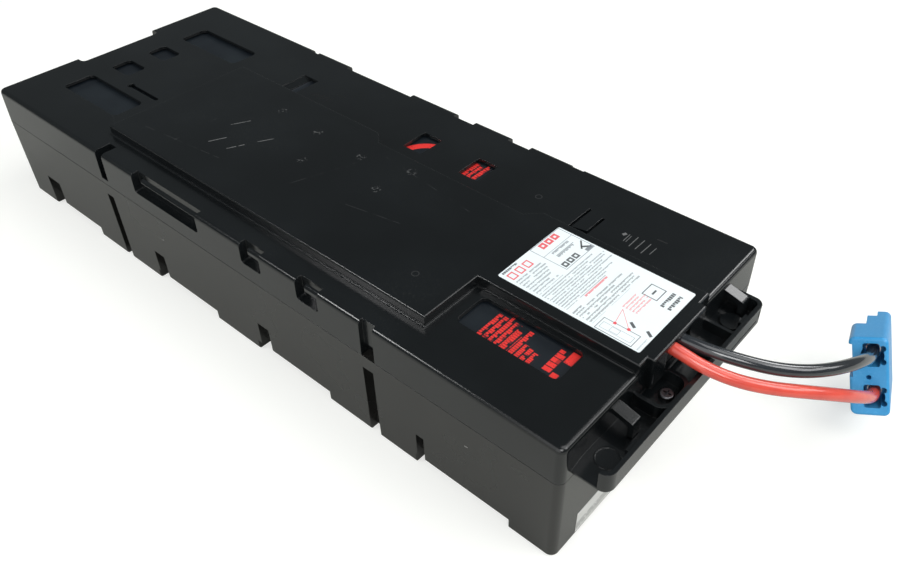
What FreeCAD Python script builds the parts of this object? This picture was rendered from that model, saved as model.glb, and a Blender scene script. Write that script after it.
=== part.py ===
import FreeCAD, Part
import math
import os
from FreeCAD import Vector, Rotation, Placement

# UPS battery cartridge: four sealed 12 V batteries in a moulded tray and cover, wired in series
# to a pair of short cables with a two-pole connector.
#
# Millimetres, +Z up. X runs along the cartridge from its closed end to the cable end, Y across it.
# The pieces are drawn from the closed end's corner and moved to the frame when they are saved: its
# origin is the middle of the underside of the casing, the cable end's ledge counted in.

# ---- driving dimensions -------------------------------------------------------------------
body_length = 444.0          # casing without the ledge at the cable end
ledge_reach = 18.0           # how far that ledge stands out
body_width = 168.0
overall_length = body_length + ledge_reach
parting_height = 54.5        # where the tray meets the cover
cover_height = 76.5          # the cover's flat top
deck_height = 82.5           # the raised wiring channel's top
wall = 2.4                   # moulded wall
side_draft = 1.4             # how far the tray's walls lean in at the bottom
corner_radius = 4.0
edge_radius = 2.6
seam_gap = 0.3               # shadow gap between tray and cover

foot_height = 6.5
floor_top = 8.5              # the tray's inner floor
pad_thickness = 1.0          # double-sided foam under the batteries

battery_width = 151.0        # across the cartridge
battery_depth = 94.0         # along the cartridge, lid included
battery_thickness = 64.0     # upwards, since they lie on a long face
lid_depth = 9.0
battery_starts = (10.8, 130.8, 225.0, 345.0)      # X of each battery's lower end
lid_faces_cable_end = (True, False, True, False)
tab_offset = 60.0            # faston tabs, from the battery's middle
tab_height = 20.0            # tabs above the lying battery's middle
tab_reach = 6.4

deck_start = 103.0
deck_end = 354.5
deck_front = 17.0
deck_back = 114.0
deck_back_inner = 106.5      # the stretch in front of the back windows is narrower
tongue_front = 54.0
bead_height = cover_height + 0.7     # a low bead runs around the deck's foot
hood_front = 60.5
hood_back = 105.5
hood_reach = 3.4
hood_bottom = 64.5

lead_diameter = 6.2
link_diameter = 4.2
lead_height = 76.4           # centre of a lead in the wiring channel

middle_y = body_width / 2
battery_bottom = floor_top + pad_thickness
battery_top = battery_bottom + battery_thickness
eps = 1.0                    # how far a cutting block runs past the face that it opens


# ---- small helpers ------------------------------------------------------------------------
def block(x0, x1, y0, y1, z0, z1):
    return Part.makeBox(x1 - x0, y1 - y0, z1 - z0, Vector(x0, y0, z0))


def mirrored(shape):
    """The same shape on the other long side."""
    return shape.mirror(Vector(0, middle_y, 0), Vector(0, 1, 0))


def both_sides(shape):
    return [shape, mirrored(shape)]


def rounded_outline(x0, x1, y0, y1, z, radius):
    """A rectangle with round corners, as a closed wire at height z."""
    r = radius
    k = r * (1 - math.sqrt(0.5))
    corners = [
        ((x1 - r, y0), (x1 - k, y0 + k), (x1, y0 + r)),
        ((x1, y1 - r), (x1 - k, y1 - k), (x1 - r, y1)),
        ((x0 + r, y1), (x0 + k, y1 - k), (x0, y1 - r)),
        ((x0, y0 + r), (x0 + k, y0 + k), (x0 + r, y0)),
    ]
    edges = []
    for i, (start, middle, end) in enumerate(corners):
        arc = Part.Arc(*[Vector(x, y, z) for x, y in (start, middle, end)])
        following = corners[(i + 1) % 4][0]
        edges.append(arc.toShape())
        edges.append(Part.LineSegment(Vector(*end, z), Vector(*following, z)).toShape())
    return Part.Wire(edges)


def rounded_block(x0, x1, y0, y1, z0, z1, radius):
    """A block whose upright edges are round."""
    face = Part.Face(rounded_outline(x0, x1, y0, y1, z0, radius))
    return face.extrude(Vector(0, 0, z1 - z0))


def tapered_block(x0, x1, y0, y1, z0, z1, radius, lean):
    """A block with round upright edges whose walls lean in by lean at the bottom."""
    low = rounded_outline(x0 + lean, x1 - lean, y0 + lean, y1 - lean, z0, radius)
    high = rounded_outline(x0, x1, y0, y1, z1, radius)
    return Part.makeLoft([low, high], True, True)


def edges_at_height(shape, z):
    return [e for e in shape.Edges if abs(e.BoundBox.ZMin - z) < 1e-6 and abs(e.BoundBox.ZMax - z) < 1e-6]


def softened(shape, z, radius):
    """Rounds every edge that lies flat at height z."""
    return shape.makeFillet(radius, edges_at_height(shape, z))


def rod(start, end, radius):
    along = end - start
    return Part.makeCylinder(radius, along.Length, start, along)


def outline_prism(points, z0, z1):
    """A prism over a polygon that is seen from above."""
    wire = Part.makePolygon([Vector(x, y, z0) for x, y in points] + [Vector(*points[0], z0)])
    return Part.Face(wire).extrude(Vector(0, 0, z1 - z0))


def side_prism(points, y0, y1):
    """A prism over a polygon of X and Z that is seen from the long side."""
    wire = Part.makePolygon([Vector(x, y0, z) for x, z in points] + [Vector(points[0][0], y0, points[0][1])])
    return Part.Face(wire).extrude(Vector(0, y1 - y0, 0))


def end_prism(points, x0, x1):
    """A prism over a polygon of Y and Z that is seen from the cable end."""
    wire = Part.makePolygon([Vector(x0, y, z) for y, z in points] + [Vector(x0, *points[0])])
    return Part.Face(wire).extrude(Vector(x1 - x0, 0, 0))


def tube_path(points):
    """Straight runs joined by tangent arcs, each as large as its two runs allow."""
    edges = []
    radii = []
    position = points[0]
    for before, corner, after in zip(points, points[1:], points[2:]):
        inward = (corner - before).normalize()
        outward = (after - corner).normalize()
        turn = inward.getAngle(outward)
        setback = 0.45 * min((corner - before).Length, (after - corner).Length)
        radius = setback / math.tan(turn / 2)
        start = corner - inward * setback
        end = corner + outward * setback
        to_centre = (outward - inward).normalize()
        centre = corner + to_centre * (setback / math.sin(turn / 2))
        edges.append(Part.LineSegment(position, start).toShape())
        edges.append(Part.Arc(start, centre - to_centre * radius, end).toShape())
        radii.append(radius)
        position = end
    edges.append(Part.LineSegment(position, points[-1]).toShape())
    return Part.Wire(edges), radii


def wire_tube(name, points, diameter):
    """A cable's plain round solid; prints its length, its radii and a check of its volume."""
    path, radii = tube_path([Vector(*p) for p in points])
    first = (Vector(*points[1]) - Vector(*points[0])).normalize()
    section = Part.Wire(Part.Circle(Vector(*points[0]), first, diameter / 2).toShape())
    tube = path.makePipeShell([section], True, False)
    expected = path.Length * math.pi * diameter ** 2 / 4
    print(f"{name}: length {path.Length:.1f}, smallest radius {min(radii):.1f}, "
          f"volume ratio {tube.Volume / expected:.4f}, radii {[round(r) for r in radii]}")
    return tube


saved = []


def save(name, shape):
    """Moves a piece to the shared frame and writes it."""
    moved = shape.copy()
    moved.translate(Vector(-overall_length / 2, -body_width / 2, 0))
    moved.exportStep(f"parts/{name}.step")
    saved.append(name)
    if not moved.isValid():
        print("invalid:", name)


# ---- the tray -----------------------------------------------------------------------------
screw_spot = (453.4, 65.0)
ledge_bottom = 58.5
feet = ((0.0, 28.5), (84.0, 147.0), (204.0, 240.5), (298.5, 360.0), (417.5, body_length))
divider_grooves = ((111.5, 118.0), (328.5, 335.5))
groove_depth = 6.3
groove_top = 46.5
foot_notches = ((28.5, 43.0), (149.0, 158.5), (244.0, 253.0), (361.0, 366.0))
notch_depth = 5.6
notch_top = 22.0
side_ribs = (20.0, 54.0, 92.0, 140.0, 176.0, 212.0, 262.0, 282.0, 306.0, 354.0, 392.0, 430.0)
rib_thickness = 2.0
rib_height = 44.0
rim_height = 3.0


def tray():
    lean = side_draft * (parting_height - foot_height) / parting_height
    outside = tapered_block(0, body_length, 0, body_width, foot_height, parting_height, corner_radius, lean)
    outlines = []
    for z, i in ((0, side_draft + 0.8), (0.9, side_draft), (parting_height, 0)):
        outlines.append(rounded_outline(i, body_length - i, i, body_width - i, z, corner_radius))
    whole = Part.makeLoft(outlines, True, True)
    for x0, x1 in feet:
        foot = whole.common(block(x0 - eps, x1, -eps, body_width + eps, -eps, foot_height + 2))
        if x0 > 0:
            foot = foot.common(block(x0, x1, -eps, body_width + eps, -eps, foot_height + 2))
        outside = outside.fuse(foot)
    inside = tapered_block(wall, body_length - wall, wall, body_width - wall, floor_top,
                           parting_height + eps, corner_radius - 1.5, side_draft)
    keep = []
    for x0, x1 in divider_grooves:
        keep += both_sides(block(x0 - 1.8, x1 + 1.8, -eps, groove_depth + 1.8, 0, parting_height))
    for x0, x1 in foot_notches:
        keep += both_sides(block(x0 - 1.8, x1 + 1.8, -eps, notch_depth + 1.8, 0, notch_top + 2))
    for x in side_ribs:
        keep += both_sides(block(x, x + rib_thickness, 0, 8.2, floor_top, rib_height))
    for y in (26.0, middle_y, body_width - 28.0):
        keep.append(block(0, battery_starts[0] - 0.3, y, y + rib_thickness, floor_top, rib_height))
    cavity = inside.cut(keep)
    troughs = []
    for x0, x1 in feet:
        trough = block(max(x0, 0) + 3.2, x1 - 3.2, 10.5, body_width - 10.5, wall, floor_top + eps)
        troughs.append(trough)
    cuts = [cavity] + troughs
    for x0, x1 in divider_grooves:
        cuts += both_sides(block(x0, x1, -eps, groove_depth, -eps, groove_top))
    for x0, x1 in foot_notches:
        cuts += both_sides(block(x0, x1, -eps, notch_depth, -eps, notch_top))
    shell = outside.cut(cuts)
    # the rim that the cover slips over
    inset = 1.3
    rim = rounded_block(inset, body_length - inset, inset, body_width - inset,
                        parting_height - 2, parting_height + rim_height, corner_radius - 1)
    rim = rim.cut(rounded_block(wall, body_length - wall, wall, body_width - wall,
                                parting_height - 3, parting_height + rim_height + eps, corner_radius - 1.5))
    gaps = [block(-eps, 12, end_recess[0] - 3, end_recess[1] + 3, parting_height, parting_height + 6)]
    gaps += both_sides(block(326.5, 340.0, -eps, 12, parting_height, parting_height + 6))
    rim = rim.cut(gaps)
    # a lug under the cover's ledge takes the cover screw
    lug = side_prism([(body_length - 1.8, 43.0), (body_length - 0.5, 43.0), (screw_spot[0] + 5.5, 50.0),
                      (screw_spot[0] + 5.5, ledge_bottom - 0.1), (body_length + 0.3, ledge_bottom - 0.1),
                      (body_length + 0.3, parting_height - 0.5), (body_length - 1.8, parting_height - 0.5)],
                     screw_spot[1] - 6, screw_spot[1] + 6)
    pilot = Part.makeCylinder(1.5, 14, Vector(*screw_spot, ledge_bottom - 10))
    return shell.fuse([rim, lug]).cut(pilot).removeSplitter()


# ---- the cover ----------------------------------------------------------------------------
handle_pocket = (148.0, 206.0)
catch_pockets = ((242.5, 258.0), (285.0, 300.5))
pocket_bottom = 64.4
pocket_depth = 4.7
pocket_corner = 2.0
grip_bar_bottom = 74.2
catch_bar_bottom = 72.6
end_recess = (55.0, 113.0)
end_recess_depth = 8.0
big_windows = ((28.5, 86.0, 29.0, 49.5), (28.5, 86.0, 118.0, 138.0), (361.8, 419.5, 29.0, 50.0))
big_window_radius = 3.4
small_windows = ((28.8, 47.5, 63.0, 77.0), (28.8, 47.5, 90.5, 104.0))
small_window_radius = 2.6
back_windows = ((242.0, 256.0), (284.5, 298.3))
back_window_front = 119.4
back_window_back = 138.0
back_window_radius = 1.0
keyed_slot = (60.5, 89.0, 56.1, 58.8)        # beside the front window, with a wider head
slot_head = (58.8, 62.2, 55.3, 59.6)
ramp_tab = (133.8, 147.0)
spring_tab = (360.0, 371.5)
slot_width = 1.6
ledge_front = 6.5
ledge_back = 140.5
ledge_top = 69.0
shelf_front = 14.0           # the shelf at the ledge's near end
shelf_back = 27.0
shelf_height = 61.6
far_boss_top = 62.0
stiffeners = (97.0, 113.0)
latch_arms = ((34.8, 41.0), (131.8, 137.8))
cable_opening = (71.5, 91.5)
clamp_front = 65.5
clamp_back = 97.5
clamp_bottom = 67.2


def deck_outline(inset):
    """The wiring channel and the tongue that leads to the cable outlet, seen from above."""
    i = inset
    return [
        (deck_start + i, deck_front + i), (deck_end - i, deck_front + i),
        (deck_end - i, tongue_front + i), (body_length - i, tongue_front + i),
        (body_length - i, deck_back - i), (348.0 + i, deck_back - i),
        (340.0 + i, deck_back_inner - i), (236.0 - i, deck_back_inner - i),
        (228.0 - i, deck_back - i), (deck_start + i, deck_back - i),
    ]


def cover_pockets():
    """Pockets in the long sides: a grip, two catches and two slots, the same on both sides."""
    pockets = []
    for x0, x1 in (handle_pocket,) + catch_pockets:
        pocket = block(x0, x1, -eps, pocket_depth, pocket_bottom, cover_height + eps)
        lower = [e for e in edges_at_height(pocket, pocket_bottom) if e.BoundBox.YLength > pocket_depth]
        pockets.append(pocket.makeFillet(pocket_corner, lower))
    pockets.append(block(111.5, 118.0, -eps, 3.4, 58.0, cover_height + eps))
    pockets.append(block(328.8, 337.5, -eps, 2.6, parting_height, cover_height + eps))
    pockets.append(block(328.8, 337.5, -eps, 5.4, parting_height, 61.0))
    return pockets


def catch_bars():
    """A bar bridges the mouth of each front pocket and stops short of its left end."""
    spans = [(handle_pocket[0] + 9.0, handle_pocket[1] + 0.5, grip_bar_bottom)]
    spans += [(x0 + 6.5, x1 + 0.5, catch_bar_bottom) for x0, x1 in catch_pockets]
    bars = []
    for start, end, bottom in spans:
        top = cover_height - 0.4
        bars.append(end_prism([(0.5, bottom), (0.4, top - 1.4), (1.3, top - 0.2), (1.9, top), (2.5, top),
                               (2.5, bottom)], start, end))
    return bars


def latch_arm(y0, y1):
    """An arm that reaches over the ledge and turns down at its tip."""
    root = body_length - 1.0
    tip = body_length + 10.6
    elbow = 69.6
    profile = [(root, 72.6), (tip, elbow), (tip + 0.2, 61.4), (tip - 2.4, 61.4), (tip - 2.6, 67.2),
               (root, 69.8)]
    arm = side_prism(profile, y0, y1)
    bend = [e for e in edges_at_height(arm, elbow) if abs(e.CenterOfMass.x - tip) < 0.05]
    return arm.makeFillet(1.6, bend)


def ledge():
    """The box-shaped ledge at the cable end, open at the top, with a sloping near end."""
    x0 = body_length - 0.6
    x1 = overall_length
    inner_x = x1 - 2.2
    outer = rounded_block(x0 - 12, x1, ledge_front, ledge_back, ledge_bottom, ledge_top, 5.0)
    outer = outer.common(block(x0, x1 + eps, 0, body_width, 0, cover_height))
    inner = rounded_block(x0 - 12, inner_x, ledge_front + 2.2, ledge_back - 2.2,
                          ledge_bottom + 2.2, ledge_top + eps, 3.0)
    inner = inner.common(block(body_length, x1, 0, body_width, 0, cover_height))
    shell = outer.cut(inner)
    # the near end slopes up from the ledge's bottom to a pad with a ring; only its corner stands
    slope_end = (shelf_front, shelf_height)
    lip = ledge_bottom + 0.9
    opened = end_prism([(ledge_front - eps, lip - 0.7), slope_end, (shelf_front, ledge_top + eps),
                        (ledge_front - eps, ledge_top + eps)], x0 - eps, x1 - 5.4)
    shelf = end_prism([(ledge_front, ledge_bottom), (ledge_front, lip), slope_end,
                       (shelf_back, shelf_height), (shelf_back, ledge_bottom)], x0, inner_x + 0.4)
    shell = shell.cut(opened).fuse(shelf.common(outer))
    ring_place = Vector(452.8, 19.8, shelf_height - 0.5)
    ring = Part.makeCylinder(5.8, 0.85, ring_place).cut(Part.makeCylinder(5.2, 0.85, ring_place))
    floor_level = ledge_bottom + 1.0
    boss = Part.makeCylinder(5.6, far_boss_top - floor_level, Vector(453.0, 125.5, floor_level))
    shell = shell.fuse([ring, boss])
    # walls of the pocket around the cover screw, two stiffeners and a stop beside each latch
    pocket = rounded_block(body_length - 4, x1 - 1, 51.0, 74.6, floor_level, ledge_top - 1.2, 7.0)
    pocket = pocket.cut(rounded_block(body_length - 6, x1 - 3, 53.0, 72.6,
                                      floor_level - eps, ledge_top + eps, 5.2))
    pocket = pocket.common(block(body_length, x1 - 1, 0, body_width, floor_level, cover_height))
    shell = shell.fuse(pocket)
    for y in stiffeners:
        shell = shell.fuse(block(body_length, x1 - 1, y, y + 1.8, floor_level, ledge_top - 2.4))
    for y0, y1 in latch_arms:
        shell = shell.fuse(block(inner_x - 2.0, x1 - 1, y0 - 10.6, y0 - 3.8, floor_level, ledge_top - 1.5))
    # a groove and a small slot in the outer face, near its far end
    marks = [block(x1 - 0.8, x1 + eps, 108.0, 133.0, 61.2, 62.3),
             block(x1 - 1.2, x1 + eps, 134.4, 135.6, 62.6, 66.8)]
    screw_hole = Part.makeCylinder(1.5, 8, Vector(*screw_spot, ledge_bottom - eps))
    return shell.cut(marks + [screw_hole])


def cover():
    skirt_bottom = parting_height + seam_gap
    outside = rounded_block(0, body_length, 0, body_width, skirt_bottom, cover_height, corner_radius)
    outside = softened(outside, cover_height, edge_radius)
    deck = softened(outline_prism(deck_outline(0), cover_height - 3, deck_height), deck_height, 1.1)
    bead = softened(outline_prism(deck_outline(-0.9), cover_height - 1.5, bead_height), bead_height, 0.5)
    bead = bead.common(block(0, body_length - edge_radius, 0, body_width, 0, deck_height))
    hood = rounded_block(body_length - 8, body_length + hood_reach, hood_front, hood_back,
                         hood_bottom, deck_height, 1.2)
    hood = softened(hood, deck_height, 1.0)
    hood = hood.common(block(body_length - 1.6, body_length + 9, 0, body_width, 0, deck_height + eps))
    pockets = [p for pocket in cover_pockets() for p in both_sides(pocket)]
    deep_slot = block(111.5, 118.0, -eps, 10.4, 70.0, cover_height + eps)
    recess = rounded_block(-10, end_recess_depth, end_recess[0], end_recess[1],
                           skirt_bottom - eps, cover_height + eps, 3.0)

    inside = rounded_block(wall, body_length - wall, wall, body_width - wall,
                           skirt_bottom + 3.4, cover_height - wall + 0.4, corner_radius - 1.5)
    rebate = rounded_block(1.2, body_length - 1.2, 1.2, body_width - 1.2,
                           skirt_bottom - eps, skirt_bottom + 3.5, corner_radius - 1)
    # walls that close each pocket towards the inside
    backing = []
    for x0, x1 in (handle_pocket,) + catch_pockets:
        backing.append(block(x0 - 1.8, x1 + 1.8, -eps, pocket_depth + 1.8, pocket_bottom - 1.8, cover_height))
    backing.append(block(109.8, 119.8, -eps, 5.2, skirt_bottom + 3.4, cover_height))
    backing.append(block(327.0, 339.3, -eps, 7.2, skirt_bottom - 2, cover_height))
    backing = [b for item in backing for b in both_sides(item)]
    backing.append(block(109.8, 119.8, -eps, 12.2, 68.2, cover_height))
    backing.append(block(-eps, end_recess_depth + 1.8, end_recess[0] - 2, end_recess[1] + 2,
                         skirt_bottom - 2, cover_height))
    cavity = inside.cut(backing)
    rebate = rebate.cut(backing)
    channel = outline_prism(deck_outline(2.2), cover_height - 6, deck_height - 2.2)
    channel = channel.cut([b for b in backing])
    hood_cavity = block(body_length - 9, body_length + hood_reach - 2, hood_front + 2, hood_back - 2,
                        hood_bottom + 2, deck_height - 2.4)

    body = outside.cut(pockets + [deep_slot, recess]).fuse([deck, bead])
    body = body.cut([cavity, rebate, channel])
    body = body.fuse(hood.cut(hood_cavity)).fuse(ledge())
    body = body.cut(block(body_length - 9, body_length + hood_reach + eps, cable_opening[0],
                          cable_opening[1], 66.6, 80.0))
    body = body.cut(block(body_length - 9, body_length + 1.4, clamp_front, clamp_back,
                          clamp_bottom, deck_height - 2.3))

    z0 = cover_height - 6
    z1 = cover_height + eps
    openings = [rounded_block(*window, z0, z1, big_window_radius) for window in big_windows]
    openings += [rounded_block(*window, z0, z1, small_window_radius) for window in small_windows]
    for x0, x1 in back_windows:
        openings.append(rounded_block(x0, x1, back_window_front, back_window_back, z0, z1,
                                      back_window_radius))
    openings += [rounded_block(*keyed_slot, z0, z1, 1.0), block(*slot_head, z0, z1)]
    openings.append(block(*ramp_tab, back_window_front, back_window_back + 1, z0, z1))
    # a springy tab between two slots; its free end is cut at a slant beside the deck
    t0, t1 = spring_tab
    front = back_window_front
    openings.append(block(t0, t0 + slot_width, front, back_window_back + 1, z0, z1))
    openings.append(block(t1 - slot_width, t1, front, back_window_back - 1.5, z0, z1))
    openings.append(outline_prism([(t0, front), (t1, front), (t1, front + 3.0), (t0, front + 0.5)], z0, z1))
    body = body.cut(openings)
    x0, x1 = ramp_tab
    top = cover_height
    ramp = side_prism([(x0 - 0.5, top - 0.3), (x0 - 0.5, top - 1.9), (x0 + 3.8, top - 2.8),
                       (x0 + 4.8, top - 2.8), (x0 + 4.8, top - 2.4)],
                      back_window_front + 0.6, back_window_back + 1.5)
    body = body.fuse([ramp] + catch_bars())
    body = body.fuse([latch_arm(*arm) for arm in latch_arms])
    return body.removeSplitter()


# ---- the batteries ------------------------------------------------------------------------
# A battery is drawn standing: u along its length, v across it, w upwards; lying() turns it down.
half_u = battery_width / 2
half_v = battery_thickness / 2
jar_height = battery_depth - lid_depth


def standing_block(u, v, w0, w1, radius):
    return rounded_block(-u, u, -v, v, w0, w1, radius)


def lying(shape, index):
    """Turns a standing battery piece onto its long face, at its place in the row."""
    turned = shape.copy()
    start = battery_starts[index]
    centre = Vector(start, middle_y, battery_bottom + half_v)
    turned.Placement = Placement(centre, Rotation(Vector(1, 1, 1), 120)).multiply(turned.Placement)
    if not lid_faces_cable_end[index]:
        pivot = Vector(start + battery_depth / 2, middle_y, 0)
        turned.rotate(pivot, Vector(0, 0, 1), 180)
    return turned


def jar():
    body = standing_block(half_u, half_v, 0, jar_height, 3.0)
    body = softened(body, 0, 1.5)
    step = standing_block(half_u - 1.6, half_v - 1.6, jar_height - 1.0, jar_height + 3.0, 2.0)
    hollow = standing_block(half_u - 3.0, half_v - 3.0, jar_height - 4.0, jar_height + 4.0, 1.6)
    return body.fuse(step).cut(hollow)


def lid():
    body = standing_block(half_u, half_v, jar_height, battery_depth, 3.0)
    body = softened(body, battery_depth, 1.0)
    socket = standing_block(half_u - 1.6, half_v - 1.6, jar_height - eps, jar_height + 3.0, 2.0)
    vent_seat = rounded_block(-46, 46, -16, 10, battery_depth - 1.5, battery_depth + eps, 2.0)
    cuts = [socket, vent_seat]
    for side in (-1, 1):
        u = side * tab_offset
        cuts.append(rounded_block(u - 9.5, u + 9.5, tab_height - 8, tab_height + 8,
                                  battery_depth - 2.4, battery_depth + eps, 2.0))
    return body.cut(cuts)


def vent_cover():
    plate = rounded_block(-45.8, 45.8, -15.8, 9.8, battery_depth - 1.5, battery_depth - 0.1, 1.8)
    notches = [block(u - 3, u + 3, 8.2, 11, battery_depth - 2, battery_depth) for u in (-30, 0, 30)]
    return plate.cut(notches)


def faston_tab(side):
    """A base plate in the lid's recess with an upright blade; the blade has a locking hole."""
    u = side * tab_offset
    seat = battery_depth - 2.4
    base = block(u - 5.5, u + 5.5, tab_height - 5.5, tab_height + 5.5, seat, seat + 0.8)
    blade = block(u - 3.15, u + 3.15, tab_height - 0.4, tab_height + 0.4, seat + 0.8,
                  battery_depth + tab_reach)
    hole = Part.makeCylinder(0.9, 4, Vector(u, tab_height - 2, battery_depth + 3.2), Vector(0, 1, 0))
    return base.fuse(blade).cut(hole)


def receptacle(side):
    """The brass sleeve crimped to a lead and pushed over a tab."""
    u = side * tab_offset
    sleeve = block(u - 3.7, u + 3.7, tab_height - 1.3, tab_height + 1.3, battery_depth + 0.2,
                   battery_depth + tab_reach + 0.6)
    slot = block(u - 3.18, u + 3.18, tab_height - 0.43, tab_height + 0.43, battery_depth - eps,
                 battery_depth + tab_reach + eps)
    return sleeve.cut(slot)


stem_height = battery_depth + 4.4        # a boot's stem above the battery's foot
stem_end = 10.2                          # how far the stem reaches from the tab


def boot(side):
    """An insulating boot over a receptacle; its stem points to the battery's middle."""
    u = side * tab_offset
    sleeve = rounded_block(u - 5.2, u + 5.2, tab_height - 4.2, tab_height + 4.2, battery_depth - 1.5,
                           battery_depth + 8.6, 1.6)
    opening = block(u - 3.75, u + 3.75, tab_height - 1.35, tab_height + 1.35, battery_depth - 3,
                    battery_depth + tab_reach + 0.8)
    seat = Vector(u, tab_height, stem_height)
    stem = rod(seat, seat + Vector(-side * stem_end, 0, 0), 4.0)
    return sleeve.fuse(stem).cut(opening)


# ---- wiring inside the casing -------------------------------------------------------------
terminal_height = battery_bottom + half_v + tab_height
front_stem = middle_y - tab_offset + stem_end      # leads leave the boots at these two depths
back_stem = middle_y + tab_offset - stem_end


def stem_x(index):
    start = battery_starts[index]
    if lid_faces_cable_end[index]:
        return start + stem_height
    return start + battery_depth - stem_height


def jumper(name, first, second):
    """A short lead that loops between two neighbouring batteries."""
    x0 = stem_x(first)
    x1 = stem_x(second)
    points = [(x0, back_stem), (x0, back_stem - 12), (x0 + 5.02, back_stem - 17), (x1 - 5.02, back_stem - 17),
              (x1, back_stem - 12), (x1, back_stem)]
    return wire_tube(name, [(x, y, terminal_height) for x, y in points], 3.6)


fuse_start = 170.0
fuse_end = 204.0
z1 = terminal_height
link_route_a = [
    (stem_x(1), front_stem, z1), (stem_x(1), 43, z1), (124.9, 51.5, 64.6), (122, 60, 70.6),
    (121.6, 69.5, 75.4), (126.5, 77.5, 77.0), (135, 81.8, 77.0), (146, 83.2, 76.7), (157, 83, 76.4),
    (fuse_start, 83, 76.4),
]
link_route_b = [
    (fuse_end, 83, 76.4), (218, 83, 76.4), (236, 83.8, 76.5), (256, 82.6, 76.4), (275, 83.8, 76.5),
    (290, 82.8, 76.4), (303.8, 83.2, 76.7), (314.8, 81.8, 77.0), (323.3, 77.5, 77.0), (328.2, 69.5, 75.4),
    (327.8, 60, 70.6), (324.9, 51.5, 64.6), (stem_x(2), 43, z1), (stem_x(2), front_stem, z1),
]
black_lead_route = [
    (stem_x(0), front_stem, z1), (stem_x(0), 44, z1), (109.4, 54, 64.4), (109.8, 64, 70.2),
    (110.4, 74.5, 75.2), (113, 85, 77.0), (121, 93.4, 77.0), (133, 97.4, 76.8), (148, 98.4, 76.8),
    (168, 97.6, 76.8), (196, 98.2, 76.8), (228, 97.4, 76.8), (260, 98.2, 76.8), (292, 97.6, 76.8),
    (320, 97.4, 76.8), (346, 94, 76.8), (368, 88.4, 76.8), (388, 85.6, 76.8), (407, 84.2, 76.8),
    (424, 83.8, 76.9), (441, 84.6, 76.7),
]
red_lead_route = [
    (stem_x(3), front_stem, z1), (stem_x(3), 44, z1), (339.8, 54, 64.6), (338.8, 63.4, 70.6),
    (340.2, 71, 75.6), (346, 76.6, 77.1), (356, 78.6, 76.9), (370, 78, 76.8), (388, 78.2, 76.8),
    (407, 77.5, 76.9), (425, 77.4, 77.1), (441, 77.6, 76.7),
]


def fuse_holder():
    """A flat in-line holder; the fuse slides in from its far side."""
    body = rounded_block(fuse_start, fuse_end, 73.5, 90.5, 73.7, 79.9, 2.0)
    pocket = block(fuse_start + 8.5, fuse_end - 8.5, 78.0, 92, 75.0, 79.0)
    return body.cut(pocket)


def fuse():
    """A small blade fuse lying flat."""
    mid = (fuse_start + fuse_end) / 2
    head = rounded_block(mid - 5.4, mid + 5.4, 85.6, 93.2, 75.1, 78.9, 1.0)
    blades = [block(mid + x, mid + x + 2.8, 78.2, 86, 76.6, 77.3) for x in (-5.0, 2.2)]
    return head.fuse(blades)


def cable_clamp():
    """The block that holds both cables behind the outlet."""
    body = rounded_block(body_length - 4.6, body_length + 1.3, clamp_front + 0.2, clamp_back - 0.2,
                         clamp_bottom + 0.1, deck_height - 2.4, 1.2)
    bores = []
    for route in (red_route, black_route):
        start = Vector(*route[0])
        along = (Vector(*route[1]) - start).normalize()
        bores.append(rod(start - along * 9, start + along * 9, lead_diameter / 2 + 0.03))
    return body.cut(bores)


# ---- the free cables and their connector --------------------------------------------------
red_route = [
    (441, 77.6, 76.7), (449, 77.7, 76.5), (461.5, 79.6, 72.7), (475, 85.2, 69.0), (487.6, 94.0, 65.8),
    (498.8, 105, 62.4), (507.7, 117.1, 56.8), (513.8, 129.1, 49.6), (517.5, 141.8, 40.6),
    (519.3, 155.5, 30.4), (517.1, 167.7, 24.1),
]
black_route = [
    (441, 84.6, 76.7), (449.5, 85.0, 76.6), (462, 87.8, 75.8), (474.4, 93.3, 73.9), (485.6, 100.4, 71.4),
    (495.2, 109.4, 69.1), (502.9, 120.7, 66.3), (508.3, 134.1, 62.3), (510.9, 147.6, 56.4),
    (511.5, 160.8, 49.0), (509.0, 173.3, 43.1),
]
# the connector's own axes: X across its thickness, Y from pole to pole, Z out of the entry face
connector_corner = Vector(513.3, 152.5, 15.4)
connector_turn = Rotation(19.25, -16.8, 68.12)
connector_width = 18.0
connector_height = 40.5
connector_length = 42.0
pole_x = 10.7
pole_heights = (10.3, 31.7)
cavity_depth = 16.0


def placed_connector(shape):
    turned = shape.copy()
    turned.Placement = Placement(connector_corner, connector_turn)
    return turned


def connector_housing():
    """A two-pole housing whose mating end is stepped so that two alike interlock."""
    body = rounded_block(0, connector_width, 0, connector_height, -connector_length, 0, 3.0)
    body = softened(body, 0, 1.6)
    pin_height = connector_height / 2 + 3
    cuts = [
        block(-1, 7.0, -1, connector_height + 1, -connector_length - 1, -22.0),
        block(6.9, 11.6, -1, connector_height + 1, -connector_length - 1, -35.0),
        block(-1, 1.6, 20.0, 37.0, -30.0, 1),
        Part.makeCylinder(1.2, 9, Vector(8.8, 20.2, -8)),
        rod(Vector(-1, pin_height, -13), Vector(connector_width + 1, pin_height, -13), 1.3),
    ]
    for y in pole_heights:
        cuts.append(Part.makeCylinder(5.3, cavity_depth + 1, Vector(pole_x, y, -cavity_depth)))
        cuts.append(rounded_block(pole_x - 4.4, pole_x + 3.2, y - 6.0, y + 6.0, -cavity_depth, 1, 1.2))
        for lobe in (-3.4, 3.4):
            lobe_place = Vector(pole_x + 4.6, y + lobe, -cavity_depth)
            cuts.append(Part.makeCylinder(1.5, cavity_depth + 1, lobe_place))
        cuts.append(Part.makeCylinder(3.4, 14, Vector(pole_x, y, -28)))
        cuts.append(block(8.6, 15.4, y - 5.5, y + 5.5, -connector_length - 1, -27))
    return body.cut(cuts)


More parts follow.
